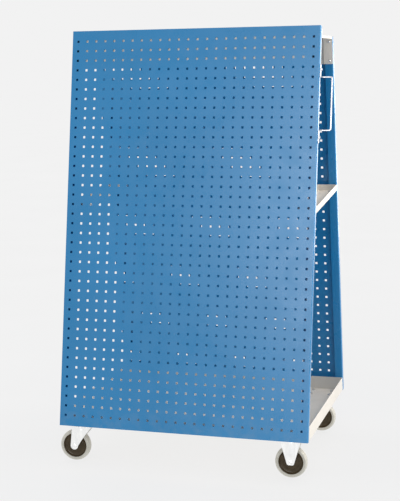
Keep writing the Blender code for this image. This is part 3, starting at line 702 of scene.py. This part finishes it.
def drilled(data, x, y, radius, low, high):
    """The same closed mesh with a round upright hole through it at x, y."""
    bodies = []
    pin = stack([(high, radius, "round"), (low, radius, "round")], DRILL_SIDES,
                lambda a, b, c: (x + a, y + b, c))
    for label, (verts, faces) in (("undrilled", data), ("drill", pin)):
        mesh = bpy.data.meshes.new(label)
        mesh.from_pydata([tuple(v) for v in verts], [], faces)
        bm = bmesh.new()
        bm.from_mesh(mesh)
        bmesh.ops.remove_doubles(bm, verts=bm.verts, dist=1e-6)
        bmesh.ops.triangulate(bm, faces=bm.faces)
        bmesh.ops.recalc_face_normals(bm, faces=bm.faces)
        bm.to_mesh(mesh)
        bm.free()
        bodies.append(bpy.data.objects.new(label, mesh))
        bpy.context.scene.collection.objects.link(bodies[-1])
    cut = bodies[0].modifiers.new("drill", "BOOLEAN")
    cut.operation = "DIFFERENCE"
    cut.solver = "EXACT"
    cut.use_self = True
    cut.object = bodies[1]
    graph = bpy.context.evaluated_depsgraph_get()
    result = bpy.data.meshes.new_from_object(bodies[0].evaluated_get(graph))
    for obj in bodies:
        bpy.data.objects.remove(obj, do_unlink=True)
    out = [tuple(v.co) for v in result.vertices], [tuple(f.vertices) for f in result.polygons]
    bpy.data.meshes.remove(result)
    return out


def fork(name, x, y, trail, body, node):
    """Pressed fork: an inverted U whose legs follow an outline, with turned-in edges and a raised rib."""
    top = SWIVEL_TOP if trail else PLATE_TOP - PLATE - GAP
    limits = swivel_limits if trail else fixed_limits
    low = SWIVEL_FORK_LOW if trail else FIXED_FORK_LOW
    side = FORK_INNER + FORK_SHEET / 2
    path = bent_path([(-side, low), (-side, top - FORK_SHEET / 2), (side, top - FORK_SHEET / 2), (side, low)],
                     FORK_BEND, 6, FORK_STEP)
    # shares of a leg's width, closer together at the rib
    columns = (0.0, 0.06, 0.18, 0.30, 0.38, 0.44, 0.50, 0.56, 0.62, 0.70, 0.82, 0.94, 1.0)
    half = FORK_SHEET / 2
    outer = []
    inner = []
    for b, z, nb, nz in path:
        left, right = limits(z)
        rib = 0.0
        if abs(nb) > 0.9:
            fade_in = min(max((z - RIB_START) / RIB_RUN_IN, 0.0), 1.0)
            fade_out = min(max((top - RIB_RUN_OUT - z) / RIB_RUN_OUT, 0.0), 1.0)
            rib = RIB_LIFT * (fade_in * fade_out)

        def point(a, lift):
            return (x + a, y + b + nb * lift, z + nz * lift)

        def turned(edge):
            away = math.hypot(edge + trail, z - WHEEL) - FORK_CLEAR
            return min(max(away * 0.9, 0.0), FORK_TURNED)

        rows = ([], [])
        fold = turned(left)
        rows[0].append(point(left, half - fold))
        rows[1].append(point(left + FORK_SHEET, min(-half, half - fold)))
        for c in columns:
            a = left + (right - left) * c
            raised = rib * max(0.0, 1 - abs(c - 0.5) / RIB_HALF)
            raised = rib * (1 - (1 - raised / rib) ** 2) if rib else 0.0
            rows[0].append(point(a, half + raised))
            tight = min(max(a, left + FORK_SHEET), right - FORK_SHEET)
            rows[1].append(point(tight, -half + raised))
        fold = turned(right)
        rows[0].append(point(right, half - fold))
        rows[1].append(point(right - FORK_SHEET, min(-half, half - fold)))
        outer.append(rows[0])
        inner.append(rows[1])
    data = slab(outer, inner)
    if trail:
        data = drilled(data, x, y, KINGPIN_HOLE, top - 2 * FORK_SHEET, top + FORK_SHEET)
    add_piece(name, data, ZINC, body, node, smooth=50)


def castor_plate(x, y, node):
    """Rectangular top plate with rounded corners and slightly worn edges."""
    outline = []
    for sx, sy, start in ((1, 1, 0), (-1, 1, 90), (-1, -1, 180), (1, -1, 270)):
        for k in range(6):
            angle = math.radians(start + 18 * k)
            outline.append((x + sx * (PLATE_HALF_X - PLATE_CORNER) + PLATE_CORNER * math.cos(angle),
                            y + sy * (PLATE_HALF_Y - PLATE_CORNER) + PLATE_CORNER * math.sin(angle)))
    bottom = PLATE_TOP - PLATE
    verts = []
    for inset, z in ((PLATE_EDGE, bottom), (0.0, bottom + PLATE_EDGE), (0.0, PLATE_TOP - PLATE_EDGE),
                     (PLATE_EDGE, PLATE_TOP)):
        for px, py in outline:
            shrink = 1 - inset / PLATE_HALF_X
            verts.append((x + (px - x) * shrink, y + (py - y) * shrink, z))
    add_piece(node + "_pressed", skinned(verts, len(outline)), ZINC, "stand", node)


def swivel_head(x, y, node):
    """Ball-race cover with a rolled edge, and the kingpin nut under the fork."""
    under = SWIVEL_TOP - FORK_SHEET - GAP
    rings = [(PLATE_TOP - 0.001, KINGPIN, "round"), (PLATE_TOP - PLATE - GAP, KINGPIN, "round"),
             (0.1609, 0.0290, "round"), (0.1600, 0.0304, "round"), (0.1575, 0.0310, "round"),
             (0.1558, 0.0308, "round"), (0.1550, 0.0296, "round"), (0.1535, 0.0290, "round"),
             (0.1528, 0.0278, "round"), (0.1505, 0.0274, "round"), (SWIVEL_TOP + GAP, 0.0266, "round"),
             (SWIVEL_TOP + GAP, KINGPIN, "round"), (under, KINGPIN, "round"), (under, KINGPIN_NUT, "hex"),
             (under - 0.0026, KINGPIN_NUT, "hex"), (under - 0.0030, KINGPIN_NUT * 0.88, "round")]
    data = stack(rings, RACE_SIDES, lambda a, b, c: (x + a, y + b, c))
    add_piece(node + "_race", data, ZINC, "stand", node)


def mirrored(half):
    """Closed profile from its half on one side of the wheel's middle plane."""
    return list(half) + [(radius, -y) for radius, y in reversed(half)]


def wheel(place, centre, body):
    """Tyre with a crowned tread and moulded shoulders, and the hub inside it."""
    tyre = [(0.0490, 0.0131), (0.0496, 0.0142), (0.0515, 0.0149), (0.0521, 0.0143), (0.0528, 0.0143),
            (0.0534, 0.0152), (0.0552, 0.0158), (0.0566, 0.0160), (0.0571, 0.0154), (0.0577, 0.0153),
            (0.0582, 0.0153), (0.0597, 0.0139), (0.0609, 0.0117), (0.0617, 0.0092), (0.0622, 0.0066),
            (0.0625, 0.0038), (0.0625, 0.0012)]
    add_piece("tyre_moulded_" + place, lathe(mirrored(tyre), WHEEL_SIDES, centre), RUBBER, body,
              "tyre_" + place)
    hub = [(0.0054, 0.0172), (0.0060, 0.0180), (0.0096, 0.0180), (0.0104, 0.0172), (0.0112, 0.0168),
           (0.0124, 0.0160), (0.0134, 0.0128), (0.0142, 0.0090), (0.0154, 0.0078), (0.0180, 0.0072),
           (0.0290, 0.0070), (0.0296, 0.0077), (0.0316, 0.0079), (0.0324, 0.0071), (0.0408, 0.0070),
           (0.0430, 0.0080), (0.0446, 0.0104), (0.0456, 0.0126), (0.0466, 0.0133), (0.0482, 0.0132),
           (0.0487, 0.0127)]
    add_piece("hub_moulded_" + place, lathe(mirrored(hub), WHEEL_SIDES, centre), PLASTIC, body,
              "hub_" + place)


def castor(place):
    """One castor under its CAD plate: the left pair swivel and the right pair are fixed."""
    low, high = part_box("castor_plate_" + place)
    x, y = (low.x + high.x) / 2, (low.y + high.y) / 2
    swivel = place.endswith("left")
    trail = TRAIL if swivel else 0.0
    frame_body = "swivel_" + place if swivel else "stand"
    castor_plate(x, y, "castor_plate_" + place)
    if swivel:
        swivel_head(x, y, "swivel_head_" + place)
    fork("fork_pressed_" + place, x, y, trail, frame_body, "castor_fork_" + place)
    centre = (x - trail, y, WHEEL)
    wheel(place, centre, "wheel_" + place)
    outer = FORK_INNER + FORK_SHEET + GAP
    hex_bolt("axle_" + place, outer, -outer, AXLE_FLAT, AXLE_SHANK,
             lambda a, b, c: (centre[0] + a, centre[1] - c, centre[2] + b),
             material=ZINC, body=frame_body, tail=0.0012)
    spots = [(i, j) for i in (-1, 1) for j in (-1, 1)]
    for number, (i, j) in enumerate(spots, 1):
        hex_bolt(f"plate_bolt_{place}_{number}", TRAY_BOTTOM + SHEET, PLATE_TOP - PLATE, M8_FLAT, M8_SHANK,
                 lambda a, b, c, i=i, j=j: (x + i * BOLT_X + a, y + j * BOLT_Y + b, c), tail=0.002)


# ---- studio ---------------------------------------------------------------------------
WORLD_LIGHT = 0.887
FLOOR_ALBEDO = 0.16
FLOOR_RADIUS = 60.0
CAMERA_PLACE = (1.3505, -4.6293, 1.5664)    # with x from the middle of the panels
CAMERA_TURN = (8.85, 16.45, 0.33)           # degrees about the axis that it points along


def studio():
    """Even pale world, and a floor whose glow makes up for the light that it doesn't return."""
    world = bpy.data.worlds.new("studio")
    world.use_nodes = True
    background = world.node_tree.nodes["Background"]
    background.inputs["Color"].default_value = (1.0, 1.0, 1.0, 1.0)
    background.inputs["Strength"].default_value = WORLD_LIGHT
    bpy.context.scene.world = world
    look = Look("studio_floor")
    tone = look.spread(look.noise(1.5, 2.0), 0.3, 0.7)
    base = look.blend(tone, (FLOOR_ALBEDO - 0.005,) * 3, (FLOOR_ALBEDO + 0.005,) * 3)
    rough = look.spread(look.noise(6.0, 2.0), 0.3, 0.7, 0.85, 0.95)
    look.shader.inputs["Specular IOR Level"].default_value = 0.0
    look.shader.inputs["Emission Color"].default_value = (1.0, 1.0, 1.0, 1.0)
    look.shader.inputs["Emission Strength"].default_value = WORLD_LIGHT * (1 - FLOOR_ALBEDO)
    material = look.finish(base, rough)
    mesh = bpy.data.meshes.new("studio_floor")
    bm = bmesh.new()
    bmesh.ops.create_circle(bm, cap_ends=True, segments=96, radius=FLOOR_RADIUS)
    bm.to_mesh(mesh)
    bm.free()
    mesh.materials.append(material)
    floor = bpy.data.objects.new("studio_floor", mesh)
    bpy.context.scene.collection.objects.link(floor)


def area_light(name, location, target, size, power, colour=(1.0, 1.0, 1.0), gloss_only=False):
    """Round softbox that lights only the stand, so that the pale floor stays even."""
    data = bpy.data.lights.new(name, "AREA")
    data.shape = "DISK"
    data.size = size
    data.energy = power
    data.color = colour
    light = bpy.data.objects.new(name, data)
    light.location = location
    light.rotation_euler = (Vector(target) - Vector(location)).to_track_quat("-Z", "Y").to_euler()
    light.visible_camera = False
    light.visible_diffuse = not gloss_only
    light.light_linking.receiver_collection = LIT
    bpy.context.scene.collection.objects.link(light)


def lights():
    """Key from the right, warm fill over the tray, and three softboxes seen only as sheen."""
    area_light("right_key", (4.5, 0.3, 1.6), (0.0, 0.0, 0.3), 2.0, 45.0, (0.94, 0.97, 1.0))
    area_light("tray_fill", (2.1, 0.0, 2.5), (0.1, 0.0, 0.15), 1.0, 30.0, (1.0, 0.90, 0.80))
    area_light("edge_sheen", (5.5, -2.6, 1.4), (0.5, -0.2, 0.9), 2.4, 60.0, (1.0, 0.95, 0.95),
               gloss_only=True)
    area_light("front_sheen", (0.45, -6.0, 2.2), (0.2, 0.0, 0.9), 3.2, 185.0, gloss_only=True)
    area_light("rim_sheen", (1.4, 5.0, 1.0), (0.3, 0.0, 0.8), 2.0, 30.0, gloss_only=True)


def camera():
    """Long lens, slightly from the right and above the middle of the stand."""
    data = bpy.data.cameras.new("camera")
    data.lens = 85.9
    data.sensor_width = 36.0
    data.clip_end = 200.0
    obj = bpy.data.objects.new("camera", data)
    turn = Vector(CAMERA_TURN)
    angle = math.radians(turn.length)
    view = Matrix.Rotation(angle, 3, turn.normalized()) @ Matrix(((1, 0, 0), (0, 0, -1), (0, 1, 0)))
    axes = Matrix((view[0], -view[1], -view[2])).transposed()
    place = Vector(CAMERA_PLACE) + Vector((SHIFT, 0.0, 0.0))
    obj.matrix_world = Matrix.Translation(place) @ axes.to_4x4()
    bpy.context.scene.collection.objects.link(obj)
    bpy.context.scene.camera = obj


panel("front_panel_perforated", -1, FRONT_ROWS, "front_panel")
panel("rear_panel_perforated", 1, REAR_ROWS, "rear_panel")
top_link()
for panel_name, panel_side in (("front", -1), ("rear", 1)):
    for end_name, end_sign in (("left", -1), ("right", 1)):
        for level_name, screw_height in zip(("low", "high"), SCREW_HEIGHTS):
            link_screw(f"link_screw_{panel_name}_{end_name}_{level_name}", panel_side,
                       end_sign * SCREW_X, screw_height)
trays()
handle()
for corner_name in CORNERS:
    castor(corner_name)
studio()
lights()
camera()
bpy.context.scene.view_settings.view_transform = "Standard"
